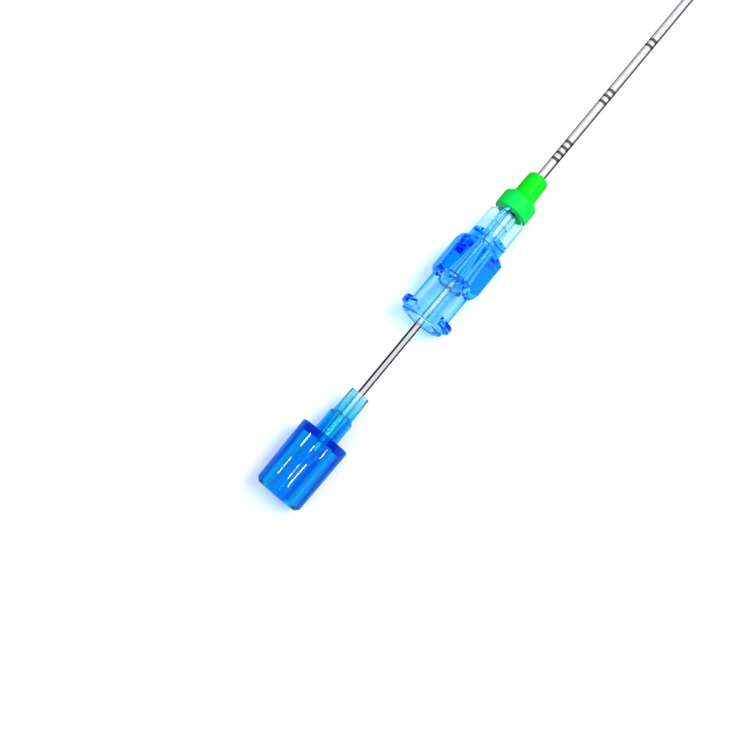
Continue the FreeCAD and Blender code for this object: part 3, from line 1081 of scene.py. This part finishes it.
def white_tents(settings, lean):
    """White tent that the steel mirrors, a card for the tube's far side, and a tent seen through plastic."""
    tent = add_area_light(
        "steel_tent", lean, TENT_ANGLE, TENT_DISTANCE, LAMP_CENTRE_X, TENT_LENGTH, TENT_WIDTH,
        settings.tent_radiance)
    tent.light_linking.receiver_collection = collected("seen_in_steel", STEEL_PIECES)
    card = add_area_light(
        "tube_card", lean, CARD_ANGLE, TENT_DISTANCE, LAMP_CENTRE_X, TENT_LENGTH, CARD_WIDTH,
        settings.card_radiance)
    card.light_linking.receiver_collection = collected("seen_in_tube", ("steel_tube",))
    through = add_area_light(
        "tent_through_plastic", lean, TENT_ANGLE, TENT_DISTANCE, LAMP_CENTRE_X, TENT_LENGTH, TENT_WIDTH,
        settings.through_radiance)
    through.visible_glossy = False
    through.visible_diffuse = False
    through.light_linking.receiver_collection = collected("seen_through_plastic", CLEAR_PIECES)


def highlights(settings, lean):
    """Narrow window strips that the clear plastics mirror, and the lamp of the nose cap's shine."""
    mirroring = collected("mirrors_the_strips", CLEAR_PIECES)
    for number, (angle, start, end, width) in enumerate(STRIPS):
        strip = add_area_light(
            f"window_strip_{number}", lean, angle, STRIP_DISTANCE, (start + end) / 2, end - start, width,
            settings.strip_radiance)
        strip.light_linking.receiver_collection = mirroring
    shine = add_area_light(
        "nose_shine", lean, SHINE_ANGLE, STRIP_DISTANCE, SHINE_X, SHINE_LENGTH, SHINE_WIDTH,
        settings.strip_radiance)
    shine.visible_diffuse = False
    shine.light_linking.receiver_collection = collected("mirrors_the_shine", ("green_nose_cap",))


class NEEDLE_OT_studio(bpy.types.Operator):
    """White floor, pale room, lamps and camera"""

    bl_idname = "needle.studio"
    bl_label = "Studio"

    def execute(self, context):
        settings = context.scene.needle_studio
        white_floor(settings)
        studio_world(settings)
        room_lights(settings, settings.side_angle)
        white_tents(settings, settings.side_angle)
        highlights(settings, settings.side_angle)
        photo_camera(settings.camera_height, settings.side_angle)
        cycles = context.scene.cycles
        cycles.max_bounces = LIGHT_BOUNCES
        cycles.glossy_bounces = LIGHT_BOUNCES
        cycles.transmission_bounces = LIGHT_BOUNCES
        cycles.transparent_max_bounces = LIGHT_BOUNCES
        context.scene.view_settings.view_transform = "Standard"
        return {"FINISHED"}


class NEEDLE_PT_panel(bpy.types.Panel):
    """Buttons and settings for each piece"""

    bl_idname = "NEEDLE_PT_panel"
    bl_label = "Brachytherapy needle"
    bl_space_type = "VIEW_3D"
    bl_region_type = "UI"
    bl_category = "Needle"

    def draw(self, context):
        layout = self.layout
        for operator in OPERATORS:
            layout.operator(operator.bl_idname)
        for group in SETTINGS:
            settings = getattr(context.scene, group)
            for name in settings.__annotations__:
                layout.prop(settings, name)


OPERATORS = (
    NEEDLE_OT_tube,
    NEEDLE_OT_wire,
    NEEDLE_OT_hub,
    NEEDLE_OT_adhesives,
    NEEDLE_OT_nose_cap,
    NEEDLE_OT_stylet_hub,
    NEEDLE_OT_studio,
)

SETTINGS = {
    "needle_tube": NeedleTubeSettings,
    "needle_hub": NeedleHubSettings,
    "needle_stylet": NeedleStyletSettings,
    "needle_studio": NeedleStudioSettings,
}


def register():
    """Make the settings, operators and panel known."""
    for kind in (*SETTINGS.values(), *OPERATORS, NEEDLE_PT_panel):
        bpy.utils.register_class(kind)
    for name, kind in SETTINGS.items():
        setattr(bpy.types.Scene, name, PointerProperty(type=kind))


def unregister():
    """Take the settings, operators and panel away again."""
    for name in SETTINGS:
        delattr(bpy.types.Scene, name)
    for kind in (NEEDLE_PT_panel, *reversed(OPERATORS), *reversed(SETTINGS.values())):
        bpy.utils.unregister_class(kind)


def main():
    """Build each piece and the studio."""
    register()
    for operator in OPERATORS:
        family, name = operator.bl_idname.split(".")
        getattr(getattr(bpy.ops, family), name)()


if __name__ == "__main__":
    main()
